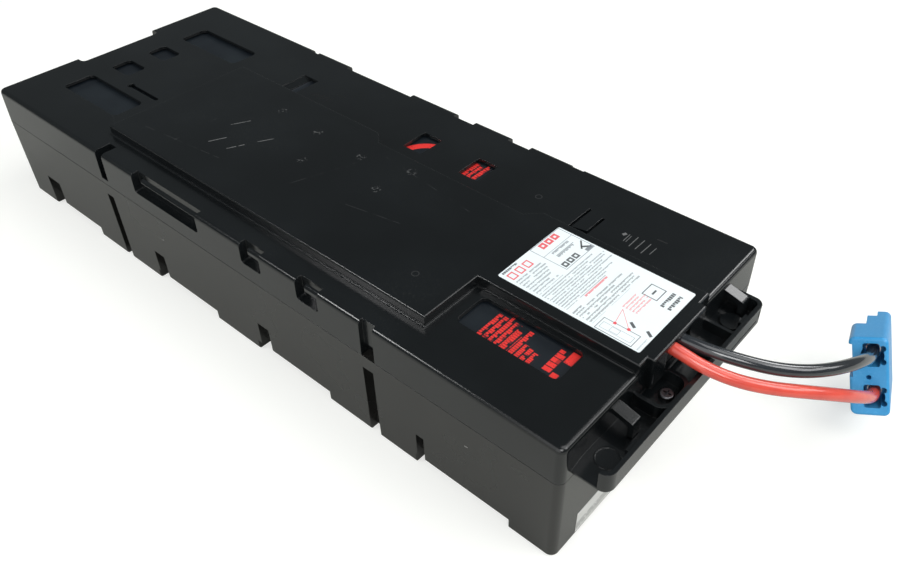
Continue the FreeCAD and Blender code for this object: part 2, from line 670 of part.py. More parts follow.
def connector_contacts():
    """One barrel with a blade for each pole."""
    contacts = []
    for y in pole_heights:
        barrel = Part.makeCylinder(3.4, 16, Vector(pole_x, y, -26.5))
        blade = block(pole_x - 1.5, pole_x + 1.5, y - 3.0, y + 3.0, -39, -26)
        contacts.append(barrel.fuse(blade))
    return Part.makeCompound(contacts)


# ---- small parts --------------------------------------------------------------------------
pad_spans = ((32, 46), (66, 80), (151, 166), (186, 201), (244, 259), (281, 296), (364, 379), (399, 414))


def foam_pads():
    pads = [block(x0, x1, 30, 138, floor_top, battery_bottom) for x0, x1 in pad_spans]
    return Part.makeCompound(pads)


def cover_screw():
    """A pan-head screw with a cross recess, through the ledge into the tray's lug."""
    x, y = screw_spot
    top = ledge_bottom + 2.2
    head = softened(Part.makeCylinder(3.5, 2.4, Vector(x, y, top)), top + 2.4, 0.9)
    shank = Part.makeCylinder(1.48, 10.5, Vector(x, y, top - 10.4))
    screw = head.fuse(shank)
    cross = block(x - 2.0, x + 2.0, y - 0.4, y + 0.4, top + 1.2, top + 3)
    return screw.cut([cross, cross.rotated(Vector(x, y, top), Vector(0, 0, 1), 90)])


label_thickness = 0.2


def top_label():
    return rounded_block(361.5, 439.7, 60.0, 108.8, deck_height, deck_height + label_thickness, 1.0)


def end_sticker():
    """Lies on the leaning end wall of the last foot."""
    low = 2.0
    high = 16.0
    lean = side_draft / parting_height
    x_low = body_length - side_draft + low * lean
    x_high = body_length - side_draft + high * lean
    return side_prism([(x_low, low), (x_low + 0.2, low), (x_high + 0.2, high), (x_high, high)], 18, 60)


# ---- build and save -----------------------------------------------------------------------
os.makedirs("parts", exist_ok=True)
save("lower_tray", tray())
save("upper_cover", cover())

jar_shape = jar()
lid_shape = lid()
vent_shape = vent_cover()
for number in range(4):
    label = number + 1
    save(f"battery_jar_{label}", lying(jar_shape, number))
    save(f"battery_lid_{label}", lying(lid_shape, number))
    save(f"vent_cover_{label}", lying(vent_shape, number))
for label, shape in (("negative_tabs", faston_tab(-1)), ("positive_tabs", faston_tab(1))):
    save(label, Part.makeCompound([lying(shape, number) for number in range(4)]))
for label, make in (("receptacles", receptacle), ("terminal_boots", boot)):
    shapes = [make(side) for side in (-1, 1)]
    save(label, Part.makeCompound([lying(shape, number) for number in range(4) for shape in shapes]))

save("jumper_lead_12", jumper("jumper_lead_12", 0, 1))
save("jumper_lead_34", jumper("jumper_lead_34", 2, 3))
save("link_lead_a", wire_tube("link_lead_a", link_route_a, link_diameter))
save("link_lead_b", wire_tube("link_lead_b", link_route_b, link_diameter))
save("fuse_holder", fuse_holder())
save("fuse", fuse())
save("positive_lead", wire_tube("positive_lead", red_lead_route, lead_diameter))
save("negative_lead", wire_tube("negative_lead", black_lead_route, lead_diameter))
save("cable_clamp", cable_clamp())
save("foam_pads", foam_pads())
save("cover_screw", cover_screw())
save("top_label", top_label())
save("end_sticker", end_sticker())
save("red_cable", wire_tube("red_cable", red_route, lead_diameter))
save("black_cable", wire_tube("black_cable", black_route, lead_diameter))
save("connector_housing", placed_connector(connector_housing()))
save("connector_contacts", placed_connector(connector_contacts()))
print("saved", len(saved), "pieces")
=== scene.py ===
import bpy
import math
from functools import reduce
from mathutils import Matrix, Vector


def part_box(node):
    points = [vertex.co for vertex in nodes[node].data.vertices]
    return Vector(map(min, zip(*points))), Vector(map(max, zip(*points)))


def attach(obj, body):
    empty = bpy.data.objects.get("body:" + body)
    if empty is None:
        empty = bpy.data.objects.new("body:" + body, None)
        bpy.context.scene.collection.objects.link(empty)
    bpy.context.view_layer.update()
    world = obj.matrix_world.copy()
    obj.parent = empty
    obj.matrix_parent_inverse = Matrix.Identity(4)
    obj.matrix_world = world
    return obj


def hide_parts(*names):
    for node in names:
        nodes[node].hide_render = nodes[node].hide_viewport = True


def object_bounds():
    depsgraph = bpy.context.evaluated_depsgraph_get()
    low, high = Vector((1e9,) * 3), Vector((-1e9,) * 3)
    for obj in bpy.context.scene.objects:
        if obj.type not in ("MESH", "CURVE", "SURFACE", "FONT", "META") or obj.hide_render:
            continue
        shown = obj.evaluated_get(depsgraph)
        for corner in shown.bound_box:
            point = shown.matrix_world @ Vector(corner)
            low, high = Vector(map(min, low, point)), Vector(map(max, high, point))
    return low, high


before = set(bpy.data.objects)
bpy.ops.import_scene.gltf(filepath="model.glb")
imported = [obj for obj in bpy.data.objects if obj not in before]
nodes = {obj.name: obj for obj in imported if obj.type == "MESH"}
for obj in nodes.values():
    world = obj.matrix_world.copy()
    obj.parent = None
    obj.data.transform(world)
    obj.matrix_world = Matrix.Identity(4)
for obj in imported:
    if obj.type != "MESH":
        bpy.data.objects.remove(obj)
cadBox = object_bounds()
millimetre = 0.001
print("frame loaded")


def addNode(tree, kind, output, settings, inputs):  # every shader node is made here
    node = tree.nodes.new("ShaderNode" + kind)
    for name, value in settings.items():
        setattr(node, name, value)
    for key, value in inputs.items():
        if isinstance(value, Field):
            tree.links.new(value.socket, node.inputs[key])
        else:
            node.inputs[key].default_value = value
    return Field(tree, node.outputs[output])


class Field:  # a shader socket that takes part in sums
    def __init__(self, tree, socket):
        self.tree = tree
        self.socket = socket

    def maths(self, operation, *others, clamp=False):
        values = dict(enumerate((self,) + others))
        return addNode(self.tree, "Math", 0, {"operation": operation, "use_clamp": clamp}, values)

    def __add__(self, other):
        return self.maths("ADD", other)

    def __sub__(self, other):
        return self.maths("SUBTRACT", other)

    def __mul__(self, other):
        return self.maths("MULTIPLY", other)

    def __truediv__(self, other):
        return self.maths("DIVIDE", other)

    def __mod__(self, other):
        return self.maths("FLOORED_MODULO", other)

    def __abs__(self):
        return self.maths("ABSOLUTE")

    def floor(self):
        return self.maths("FLOOR")

    def larger(self, other):
        return self.maths("MAXIMUM", other)

    def above(self, level, soft=0.1):  # 0 below the level, 1 above it
        return (self - level).maths("MULTIPLY_ADD", 1 / soft, 0.5, clamp=True)

    def below(self, level, soft=0.1):
        return (self - level).maths("MULTIPLY_ADD", -1 / soft, 0.5, clamp=True)

    def between(self, low, high, soft=0.1):  # 1 in a strip, 0 outside
        return abs(self - (low + high) / 2).below((high - low) / 2, soft)


def strongest(fields):  # the highest of several fields
    return reduce(Field.larger, fields)


class Paint:  # a material whose patterns are laid out in millimetres of the object's frame
    def __init__(self, name, **settings):
        self.material = bpy.data.materials.new(name)
        self.material.use_nodes = True
        self.tree = self.material.node_tree
        self.shader = self.tree.nodes["Principled BSDF"]
        for socket, value in settings.items():
            self.shader.inputs[socket.replace("_", " ")].default_value = value
        self.spot = self.make("TexCoord", "Object")
        self.x, self.y, self.z = [self.make("SeparateXYZ", axis, Vector=self.spot) * 1000 for axis in "XYZ"]

    def make(self, kind, output, settings=None, **inputs):
        named = {name.replace("_", " "): value for name, value in inputs.items()}
        return addNode(self.tree, kind, output, settings or {}, named)

    def noise(self, size, detail=3.0):  # size in millimetres
        return self.make("TexNoise", "Fac", Vector=self.spot, Scale=1000 / size, Detail=detail)

    def chance(self, a, b, detail=0.0):  # a random share that changes with a and b
        place = addNode(self.tree, "CombineXYZ", 0, {}, {0: a, 1: b})
        return self.make("TexNoise", "Fac", Vector=place, Scale=1.0, Detail=detail)

    def layer(self, under, over, amount):  # lays one colour over another
        colours = [value if isinstance(value, Field) else (*value[:3], 1.0) for value in (under, over)]
        return addNode(self.tree, "Mix", 2, {"data_type": "RGBA"}, {0: amount, 6: colours[0], 7: colours[1]})

    def set(self, **fields):
        for name, field in fields.items():
            self.tree.links.new(field.socket, self.shader.inputs[name.replace("_", " ")])

    def bump(self, height, strength, depth, edge=0.0):  # depth and edge in millimetres
        inputs = {"Strength": strength, "Distance": depth / 1000, "Height": height}
        if edge:  # sharp edges catch light as if they were rounded
            inputs["Normal"] = self.make("Bevel", "Normal", {"samples": 6}, Radius=edge / 1000)
        self.set(Normal=self.make("Bump", "Normal", **inputs))

    def uneven(self, cloud, smoothest, spread):  # gloss that comes and goes with a cloud
        self.set(Roughness=cloud.maths("MULTIPLY_ADD", spread, smoothest))

    def patch(self, x0, x1, y0, y1, soft=0.12):  # a rectangle seen from above
        return self.x.between(x0, x1, soft) * self.y.between(y0, y1, soft)

    def reach(self, place):  # how far away a point lies, seen from above
        dx, dy = self.x - place[0], self.y - place[1]
        return (dx * dx + dy * dy).maths("SQRT")

    def stroke(self, start, end, wide, soft=0.15, axes="xy"):  # a straight line in the plane of two axes
        first, second = getattr(self, axes[0]), getattr(self, axes[1])
        span = math.dist(start, end)
        run = (end[0] - start[0]) / span
        rise = (end[1] - start[1]) / span
        along = (first - start[0]) * run + (second - start[1]) * rise
        across = (second - start[1]) * run - (first - start[0]) * rise
        return along.between(0.0, span, soft) * abs(across).below(wide / 2, soft)

    def strokes(self, marks, soft):  # each mark is a start, an end and a width
        return strongest([self.stroke(fromCorner(*start), fromCorner(*end), wide, soft)
                          for start, end, wide in marks])

    def onto(self, *names):
        for name in names:
            mesh = nodes[name].data
            mesh.materials.clear()
            mesh.materials.append(self.material)
        return self


def fromCorner(x, y):  # places measured from the casing's closed end, in millimetres
    return (x + cadBox[0][0] * 1000, y + casingFront)


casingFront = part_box("upper_cover")[0][1] * 1000
deckHeight = 6.0  # how far the wiring channel stands above the cover
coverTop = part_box("upper_cover")[1][2] * 1000 - deckHeight

# print
lettering = {
    "lineSeed": 7.3, "cellSeed": 3.7, "barSeed": 5.1, "shift": 0.37,  # what sets the lines apart
    "wordEdge": 0.04, "shortShare": 0.46, "shortHeight": 0.62, "barShare": 0.84,
    "fullLine": 0.72, "raggedMiddle": 0.35, "raggedSpread": 1.2,  # where lines end
    "soft": 0.12,
}


def printLines(paint, block):  # lines of print as short plain bars
    x0, y0 = fromCorner(*block["from"])
    x1, y1 = fromCorner(*block["to"])
    across = (paint.x - x0) / block["pitch"]
    line = across.floor()
    part = across % 1.0
    wordPlace = (paint.y - y0) / block["word"]
    words = paint.chance(line * lettering["lineSeed"] + block["seed"], wordPlace, 1.0)
    words = words.above(block["gaps"], lettering["wordEdge"])
    cell = (paint.y - y0) / block["bar"] + line * lettering["shift"]
    cellSeed = cell.floor() * lettering["cellSeed"] + block["seed"]
    cellChance = paint.chance(cellSeed, line * lettering["barSeed"])
    tall = part.between(0.0, block["fill"], lettering["soft"])
    low = part.below(block["fill"] * lettering["shortHeight"], lettering["soft"])
    bar = low + (tall - low) * cellChance.above(lettering["shortShare"], 0.05)
    gap = (cell % 1.0).below(lettering["barShare"], 0.1)
    lineEnd = paint.chance(line * lettering["cellSeed"], block["seed"] * 2.0) - lettering["raggedMiddle"]
    height = y1 - y0
    lineEnd = lineEnd * height * lettering["raggedSpread"] + y0 + height * lettering["fullLine"]
    return bar * gap * words * paint.y.below(lineEnd, 0.2) * paint.patch(x0, x1, y0, y1)


# casing
casing = {
    "tray": (0.0078, 0.0078, 0.0072), "trayRoughness": 0.25,
    "cover": (0.0032, 0.0040, 0.0045), "coverRoughness": 0.2,
    "clamp": (0.006, 0.006, 0.006), "clampRoughness": 0.4,
    "edge": 0.35, "bump": 0.12,
    "wornTone": (0.07, 0.07, 0.065), "speckTone": (0.25, 0.25, 0.24), "rubTone": (0.22, 0.22, 0.22),
    # the raised marks' tone is a painted highlight, not a colour of their own
    "scratchTone": (0.10, 0.10, 0.10), "raisedHighlight": (0.2, 0.2, 0.2), "sunkShade": (0.0, 0.0, 0.0),
    "scuffs": [  # short pale rubs on the deck: start, end, width
        ((161.5, 43.7), (166.0, 53.0), 0.55), ((156.3, 63.3), (161.8, 73.7), 0.5),
        ((175.4, 45.7), (179.9, 54.9), 0.6), ((183.1, 61.7), (187.6, 69.6), 0.5),
    ],
    # middles of small groups of specks on the deck
    "chips": [(167.4, 93.4), (201.3, 91.1), (216.7, 65.5), (239.3, 88.9), (271.2, 96.6), (267.7, 72.6)],
    "chipReach": 2.8, "chipSize": 1.3, "chipAmount": 0.4,
    "scratches": [  # long fine lines
        ((145.5, 26.0), (144.4, 62.0), 0.3), ((228.0, 44.0), (246.0, 96.0), 0.25),
        ((120.0, 30.0), (180.0, 37.0), 0.2), ((262.0, 52.0), (318.0, 63.0), 0.2),
        ((20.0, 60.0), (95.0, 24.0), 0.22), ((250.0, 98.0), (330.0, 88.0), 0.18),
    ],
    "raisedMarks": [  # moulded ribs beside the spring tab, painted pale as a highlight on their edges
        ((388.5, 127.3), (388.4, 133.9), 0.35), ((389.9, 127.5), (389.7, 133.4), 0.3),
        ((393.0, 125.6), (392.9, 134.8), 0.4), ((396.6, 125.6), (396.8, 134.7), 0.4),
        ((400.6, 124.7), (400.8, 134.2), 0.4), ((404.4, 126.7), (404.6, 133.0), 0.35),
        ((385.6, 131.4), (386.6, 133.6), 1.7),
    ],
    "sunkMarks": [  # moulded marks beyond the two tabs, painted black as shade in their hollows
        ((401.2, 139.6), (406.8, 140.0), 0.7), ((157.0, 124.0), (160.0, 128.4), 0.8),
        ((160.5, 124.0), (164.0, 129.4), 0.8), ((164.5, 124.4), (168.0, 130.0), 0.8),
        ((168.5, 125.0), (171.6, 130.0), 0.8), ((169.0, 135.0), (176.0, 136.0), 0.6),
    ],
    "dimples": [(333.0, 130.0), (331.0, 36.0)],
    "dimpleRadius": 1.75, "dimpleLine": 0.25,
    "sideSpecks": [  # on the front wall: start and end as length and height, width
        ((12.0, 55.0), (19.0, 55.6), 0.5), ((163.0, 38.0), (165.2, 38.2), 0.6),
        ((392.0, 39.0), (394.0, 39.2), 0.6),
    ],
}


def plasticPaint(name, tone, roughness=None):
    paint = Paint(name, IOR=1.49)
    cloudy = paint.noise(60, 4.0)
    worn = paint.noise(0.9, 2.0).above(0.64, 0.1) * cloudy.above(0.54, 0.1)
    colour = paint.layer(tone, [value * 1.6 for value in tone], cloudy.between(0.5, 0.8, 0.3))
    grain = paint.noise(1.6, 3.0) * 0.3 + paint.noise(14.0, 2.0) * 1.5
    if roughness:
        paint.uneven(cloudy, roughness - 0.05, 0.12)
    return paint, paint.layer(colour, casing["wornTone"], worn * 0.1), grain


def trayPaint():
    paint, colour, grain = plasticPaint("trayPlastic", casing["tray"], casing["trayRoughness"])
    closedEnd = fromCorner(0, 0)[0]
    specks = strongest([paint.stroke((x0 + closedEnd, z0), (x1 + closedEnd, z1), wide, 0.2, "xz")
                        for (x0, z0), (x1, z1), wide in casing["sideSpecks"]])
    front = paint.y.below(casingFront + 4.0)
    paint.set(Base_Color=paint.layer(colour, casing["speckTone"], specks * front * 0.8))
    paint.bump(grain, casing["bump"], 0.12, casing["edge"])
    return paint


def coverPaint():
    paint, colour, grain = plasticPaint("coverPlastic", casing["cover"])
    onTop = paint.z.above(coverTop, 0.5)
    rub = paint.strokes(casing["scuffs"], 0.5) * paint.noise(2.0, 3.0).above(0.4, 0.2) * onTop
    clusters = strongest([paint.reach(fromCorner(*chip)).below(casing["chipReach"], 1.0)
                          for chip in casing["chips"]])
    chips = clusters * paint.noise(casing["chipSize"], 1.0).above(0.6, 0.08) * onTop
    rub = rub.larger(chips * casing["chipAmount"])
    scratch = paint.strokes(casing["scratches"], 0.25) * paint.noise(9.0, 3.0).above(0.52, 0.1) * onTop
    inner = casing["dimpleRadius"] - casing["dimpleLine"]
    outer = casing["dimpleRadius"] + casing["dimpleLine"]
    rings = strongest([paint.reach(fromCorner(*dimple)).between(inner, outer, 0.3)
                       for dimple in casing["dimples"]])
    raised = paint.strokes(casing["raisedMarks"], 0.3).larger(rings * 0.15)
    raised = raised * paint.z.above(coverTop - 0.5, 0.4)
    sunk = paint.strokes(casing["sunkMarks"], 0.5)
    # painted shade: the sunk marks are coloured black for the shade in their hollows
    colour = paint.layer(colour, casing["sunkShade"], sunk)
    colour = paint.layer(colour, casing["rubTone"], rub * 0.7)
    colour = paint.layer(colour, casing["scratchTone"], scratch * 0.35)
    # painted highlight: the raised ribs and dimple rims are coloured pale where they catch the light
    paint.set(Base_Color=paint.layer(colour, casing["raisedHighlight"], raised * 0.7))
    paint.uneven(sunk, casing["coverRoughness"], 0.5)  # the sunk marks are duller
    paint.bump(grain + raised * 3.0, casing["bump"], 0.12, casing["edge"])
    return paint


def clampPaint():
    paint, colour, grain = plasticPaint("clampPlastic", casing["clamp"], casing["clampRoughness"])
    paint.set(Base_Color=colour)
    paint.bump(grain, casing["bump"], 0.12)
    return paint


trayPaint().onto("lower_tray")
coverPaint().onto("upper_cover")
clampPaint().onto("cable_clamp", "fuse_holder")
print("casing painted")


# batteries
battery = {
    "jar": (0.005, 0.0075, 0.011), "jarLight": (0.009, 0.013, 0.017), "roughness": 0.34,
    "ink": (0.74, 0.035, 0.03),
    "lid": (0.02, 0.024, 0.03), "lidLight": (0.03, 0.034, 0.04), "lidRoughness": 0.35,
    "lines": [  # small print under the front window and one back window
        {"from": (372.7, 31.4), "to": (386.2, 50.0), "pitch": 3.2, "fill": 0.74, "word": 6.0, "bar": 1.5,
         "gaps": 0.36, "seed": 3.0},
        {"from": (386.2, 31.4), "to": (390.2, 46.4), "pitch": 3.6, "fill": 0.7, "word": 6.0, "bar": 1.5,
         "gaps": 0.36, "seed": 8.0},
        {"from": (390.7, 31.4), "to": (394.0, 50.0), "pitch": 3.3, "fill": 0.74, "word": 5.0, "bar": 1.4,
         "gaps": 0.38, "seed": 5.0},
        {"from": (394.0, 31.4), "to": (403.3, 41.0), "pitch": 3.1, "fill": 0.74, "word": 5.0, "bar": 1.2,
         "gaps": 0.36, "seed": 6.0},
        {"from": (408.1, 33.0), "to": (412.6, 49.6), "pitch": 4.5, "fill": 0.96, "word": 30.0, "bar": 3.2,
         "gaps": 0.1, "seed": 2.0},
        {"from": (283.8, 122.9), "to": (294.0, 138.0), "pitch": 3.5, "fill": 0.78, "word": 5.0, "bar": 1.9,
         "gaps": 0.33, "seed": 9.0},
    ],
    "fields": [((413.4, 42.1), (417.6, 50.0)), ((413.4, 31.4), (416.8, 34.4))],
    "arcCentre": (260.5, 117.5), "arcRadii": (15.2, 20.0), "arcReach": (-20.5, -6.0, 0.5, 22.5),
    "printAbove": 72.5,  # only the faces under the windows are printed
}


def batteryPaint():
    paint = Paint("batteryPlastic", IOR=1.47)
    cloudy = paint.noise(25, 3.0)
    ink = strongest([printLines(paint, block) for block in battery["lines"]])
    for start, end in battery["fields"]:
        (x0, y0), (x1, y1) = fromCorner(*start), fromCorner(*end)
        ink = ink.larger(paint.patch(x0, x1, y0, y1, 0.4))
    x, y = fromCorner(*battery["arcCentre"])
    left, right, low, high = battery["arcReach"]
    band = paint.reach((x, y)).between(*battery["arcRadii"], 0.4)
    ink = ink.larger(band * paint.patch(x + left, x + right, y + low, y + high, 0.4))
    ink = ink * paint.noise(1.2, 2.0).above(0.3, 0.2) * paint.z.above(battery["printAbove"], 0.4)
    plain = paint.layer(battery["jar"], battery["jarLight"], cloudy.above(0.5, 0.3))
    paint.set(Base_Color=paint.layer(plain, battery["ink"], ink * 0.95))
    paint.uneven(cloudy, battery["roughness"], 0.1)
    paint.bump(paint.noise(0.8, 2.0) + ink * 0.5, 0.15, 0.08)
    return paint


def lidPaint():
    paint = Paint("lidPlastic", IOR=1.47)
    paint.set(Base_Color=paint.layer(battery["lid"], battery["lidLight"], paint.noise(20)))
    paint.uneven(paint.noise(8), battery["lidRoughness"], 0.15)
    paint.bump(paint.noise(0.7), 0.15, 0.06)
    return paint


jars = batteryPaint()
lids = lidPaint()
for number in "1234":
    jars.onto("battery_jar_" + number)
    lids.onto("battery_lid_" + number, "vent_cover_" + number)
print("batteries painted")


# label and sticker
label = {
    "paper": (0.76, 0.83, 0.85), "paperLight": (0.82, 0.88, 0.90),
    "grey": (0.17, 0.19, 0.21), "dark": (0.022, 0.022, 0.026), "red": (0.74, 0.04, 0.055),
    "roughness": 0.3, "frameInk": 0.88, "strokeInk": 0.9,
    "lines": [  # blocks of print; ink and how strong it is at the end
        {"from": (370.9, 89.5), "to": (374.3, 104.0), "pitch": 2.9, "fill": 0.5, "word": 8.0, "bar": 0.9,
         "gaps": 0.3, "seed": 1.0, "ink": "grey", "depth": 0.8},
        {"from": (374.3, 89.5), "to": (377.2, 103.5), "pitch": 2.9, "fill": 0.5, "word": 8.0, "bar": 0.9,
         "gaps": 0.3, "seed": 2.0, "ink": "grey", "depth": 0.8},
        {"from": (371.0, 61.8), "to": (385.0, 82.5), "pitch": 1.95, "fill": 0.5, "word": 3.6, "bar": 0.7,
         "gaps": 0.38, "seed": 4.0, "ink": "grey", "depth": 0.75},
        {"from": (386.0, 61.8), "to": (400.4, 107.5), "pitch": 1.55, "fill": 0.5, "word": 3.6, "bar": 0.6,
         "gaps": 0.36, "seed": 5.0, "ink": "grey", "depth": 0.75},
        {"from": (403.3, 61.6), "to": (404.9, 69.2), "pitch": 1.7, "fill": 0.6, "word": 9.0, "bar": 0.7,
         "gaps": 0.2, "seed": 6.0, "ink": "dark", "depth": 0.7},
        {"from": (405.0, 62.0), "to": (414.2, 103.0), "pitch": 1.8, "fill": 0.55, "word": 4.5, "bar": 0.7,
         "gaps": 0.36, "seed": 7.0, "ink": "dark", "depth": 0.62},
        {"from": (418.0, 79.8), "to": (426.2, 93.8), "pitch": 1.75, "fill": 0.55, "word": 4.5, "bar": 0.7,
         "gaps": 0.33, "seed": 8.0, "ink": "red", "depth": 0.6},
        {"from": (400.8, 74.7), "to": (402.4, 94.6), "pitch": 1.7, "fill": 0.7, "word": 20.0, "bar": 0.8,
         "gaps": 0.1, "seed": 9.0, "ink": "red", "depth": 0.8},
        {"from": (437.6, 60.8), "to": (438.9, 70.0), "pitch": 1.3, "fill": 0.6, "word": 5.0, "bar": 0.6,
         "gaps": 0.3, "seed": 10.0, "ink": "grey", "depth": 0.45},
        {"from": (362.2, 61.9), "to": (363.8, 74.0), "pitch": 1.8, "fill": 0.75, "word": 20.0, "bar": 1.3,
         "gaps": 0.1, "seed": 11.0, "ink": "dark", "depth": 0.85},
        {"from": (430.9, 91.2), "to": (433.1, 104.0), "pitch": 2.3, "fill": 0.85, "word": 9.0, "bar": 1.5,
         "gaps": 0.24, "seed": 12.0, "ink": "dark", "depth": 0.9},
        {"from": (434.5, 91.4), "to": (436.7, 104.0), "pitch": 2.3, "fill": 0.85, "word": 9.0, "bar": 1.5,
         "gaps": 0.24, "seed": 13.0, "ink": "dark", "depth": 0.9},
    ],
    "frames": [  # thin outlines: low corner, high corner, line
        ((361.7, 84.4), (384.0, 107.9), 0.35, "grey"), ((369.9, 84.4), (370.3, 107.9), 0.15, "grey"),
        ((415.8, 60.6), (435.1, 68.9), 0.35, "dark"), ((417.2, 62.3), (433.6, 66.4), 0.2, "grey"),
        ((422.0, 62.9), (426.5, 66.0), 0.2, "grey"), ((420.0, 93.0), (428.3, 102.0), 0.5, "dark"),
        ((364.8, 62.2), (369.6, 66.4), 0.75, "red"), ((364.8, 68.0), (369.6, 72.0), 0.75, "red"),
        ((364.8, 73.6), (369.6, 77.8), 0.75, "red"), ((379.4, 85.6), (382.9, 89.0), 1.0, "dark"),
        ((379.4, 89.8), (382.9, 93.2), 1.0, "dark"), ((379.4, 94.0), (382.9, 97.4), 1.0, "dark"),
        ((362.6, 89.4), (366.6, 93.4), 1.3, "red"), ((362.6, 94.2), (366.6, 98.2), 1.3, "red"),
        ((362.6, 99.0), (366.6, 103.0), 1.3, "red"),
    ],
    "strokes": [  # start, end, width
        ((379.0, 103.0), (382.6, 106.8), 1.3, "dark"), ((376.2, 107.0), (380.4, 101.8), 0.9, "dark"),
        ((419.3, 78.5), (421.5, 68.8), 0.25, "red"), ((419.3, 78.5), (428.5, 69.2), 0.25, "red"),
        ((421.5, 69.4), (421.7, 67.8), 1.5, "red"), ((428.0, 69.7), (429.2, 68.5), 1.5, "red"),
        ((426.7, 73.7), (430.0, 71.6), 1.5, "dark"), ((435.4, 73.5), (438.6, 71.4), 1.5, "dark"),
        ((382.6, 102.4), (382.6, 107.4), 2.0, "grey"), ((424.2, 95.6), (424.2, 99.2), 1.0, "dark"),
    ],
}


def labelPaint():
    paint = Paint("labelFilm", IOR=1.5, Coat_Weight=0.3, Coat_Roughness=0.08)
    colour = paint.layer(label["paper"], label["paperLight"], paint.noise(30, 2.0))
    for block in label["lines"]:
        colour = paint.layer(colour, label[block["ink"]], printLines(paint, block) * block["depth"])
    for start, end, line, ink in label["frames"]:
        (x0, y0), (x1, y1) = fromCorner(*start), fromCorner(*end)
        inner = paint.patch(x0 + line, x1 - line, y0 + line, y1 - line)
        outline = (paint.patch(x0, x1, y0, y1) - inner).above(0.5, 0.6)
        colour = paint.layer(colour, label[ink], outline * label["frameInk"])
    for start, end, wide, ink in label["strokes"]:
        stroke = paint.stroke(fromCorner(*start), fromCorner(*end), wide)
        colour = paint.layer(colour, label[ink], stroke * label["strokeInk"])
    paint.set(Base_Color=colour)
    paint.uneven(paint.noise(12), label["roughness"], 0.12)
    paint.bump(paint.noise(6.0, 2.0), 0.08, 0.15)
    return paint


sticker = {
    "paper": (0.62, 0.62, 0.6), "paperLight": (0.72, 0.72, 0.7), "ink": (0.06, 0.06, 0.06),
    "roughness": 0.5, "pitch": 0.9, "bottom": 4.0, "top": 9.0,
}


def stickerPaint():
    paint = Paint("stickerPaper", Roughness=sticker["roughness"])
    paper = paint.layer(sticker["paper"], sticker["paperLight"], paint.noise(9))
    stripes = (paint.y / sticker["pitch"] % 1.0).below(0.5, 0.2)
    stripes = stripes * paint.z.between(sticker["bottom"], sticker["top"])
    stripes = stripes * paint.noise(1.4, 0.0).above(0.35, 0.1)
    paint.set(Base_Color=paint.layer(paper, sticker["ink"], stripes * 0.7))
    paint.bump(paint.noise(3.0), 0.1, 0.1)
    return paint


labelPaint().onto("top_label")
stickerPaint().onto("end_sticker")
print("label painted")


# cables
lead = {
    "diameter": 6.2, "redLength": 146.0, "blackLength": 134.6,  # millimetres
    "roundSteps": 8, "lengthSteps": 12,
    "red": (0.68, 0.082, 0.055), "redDeep": (0.53, 0.052, 0.04),
    "redRoughness": 0.22, "redCoat": 0.35,
    "black": (0.020, 0.023, 0.027), "blackDeep": (0.009, 0.010, 0.012),
    "blackRoughness": 0.16, "blackCoat": 0.6,
}
redRoute = [
    (441, 77.6, 76.7), (449, 77.7, 76.5), (461.5, 79.6, 72.7), (475, 85.2, 69.0), (487.6, 94.0, 65.8),
    (498.8, 105, 62.4), (507.7, 117.1, 56.8), (513.8, 129.1, 49.6), (517.5, 141.8, 40.6),
    (519.3, 155.5, 30.4), (517.1, 167.7, 24.1),
]
blackRoute = [
    (441, 84.6, 76.7), (449.5, 85.0, 76.6), (462, 87.8, 75.8), (474.4, 93.3, 73.9), (485.6, 100.4, 71.4),
    (495.2, 109.4, 69.1), (502.9, 120.7, 66.3), (508.3, 134.1, 62.3), (510.9, 147.6, 56.4),
    (511.5, 160.8, 49.0), (509.0, 173.3, 43.1),
]


def cable(name, route, cadNode, paint):
    curve = bpy.data.curves.new(name, "CURVE")
    curve.dimensions = "3D"
    curve.bevel_depth = lead["diameter"] / 2 * millimetre
    curve.bevel_resolution = lead["roundSteps"]
    curve.resolution_u = lead["lengthSteps"]
    curve.render_resolution_u = lead["lengthSteps"]
    curve.use_fill_caps = True
    spline = curve.splines.new("NURBS")
    spline.points.add(len(route) - 1)
    for point, (x, y, z) in zip(spline.points, route):
        x, y = fromCorner(x, y)
        point.co = (x * millimetre, y * millimetre, z * millimetre, 1)
    spline.order_u = 3
    spline.use_endpoint_u = True
    obj = bpy.data.objects.new(name, curve)
    bpy.context.scene.collection.objects.link(obj)
    curve.materials.append(paint.material)
    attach(obj, "root")
    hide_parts(cadNode)


def insulationPaint(name, colour, deeper, roughness, coat=0.0):
    paint = Paint(name, IOR=1.5, Coat_Weight=coat, Coat_Roughness=0.06)
    cloudy = paint.noise(9, 3.0)
    paint.set(Base_Color=paint.layer(colour, deeper, cloudy.above(0.52, 0.25) * 0.5))
    paint.uneven(cloudy, roughness - 0.04, 0.1)
    paint.bump(paint.noise(2.4, 2.0), 0.1, 0.12)
    return paint


redPaint, blackPaint = [
    insulationPaint(hue + "Insulation", lead[hue], lead[hue + "Deep"],
                    lead[hue + "Roughness"], lead[hue + "Coat"])
    for hue in ("red", "black")
]
cable("redCable", redRoute, "red_cable", redPaint)
cable("blackCable", blackRoute, "black_cable", blackPaint)
redPaint.onto("positive_lead", "jumper_lead_12", "jumper_lead_34", "link_lead_a", "link_lead_b")
blackPaint.onto("negative_lead")
print("cables laid")


